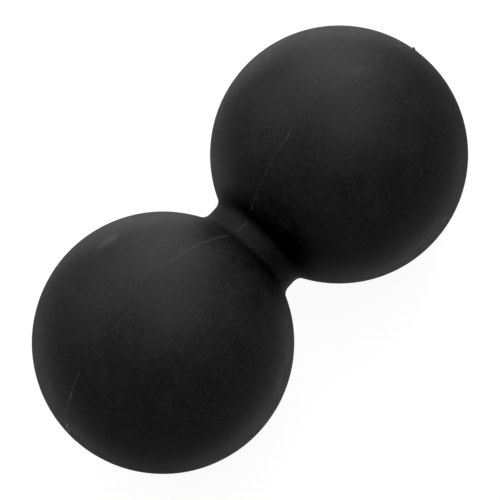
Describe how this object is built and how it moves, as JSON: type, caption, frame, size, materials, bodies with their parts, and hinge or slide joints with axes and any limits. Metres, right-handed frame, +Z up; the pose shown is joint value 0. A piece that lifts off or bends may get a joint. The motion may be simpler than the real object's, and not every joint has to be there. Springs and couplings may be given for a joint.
{
  "type": "massage ball",
  "caption": "Double massage ball: two equal firm rubber balls joined by a short round waist, with a lengthways moulding seam.",
  "frame": {"origin": "middle of the waist, on the line through both ball centres; it is also the middle of the bounding box", "axes": "+X along the line through both ball centres, +Z up, so the part lies level on both balls; the skin's two halves meet on the plane y = 0, and the seam runs over the top"},
  "size_m": [0.126, 0.063, 0.063],
  "materials": {
    "skin_rubber": "satin",
    "core_rubber": "matte",
    "link_rubber": "matte"
  },
  "bodies": {
    "root": {"skin_front_half": "skin_rubber", "skin_rear_half": "skin_rubber", "core_ball_left": "core_rubber", "core_ball_right": "core_rubber", "core_link": "link_rubber"}
  },
  "joints": []
}
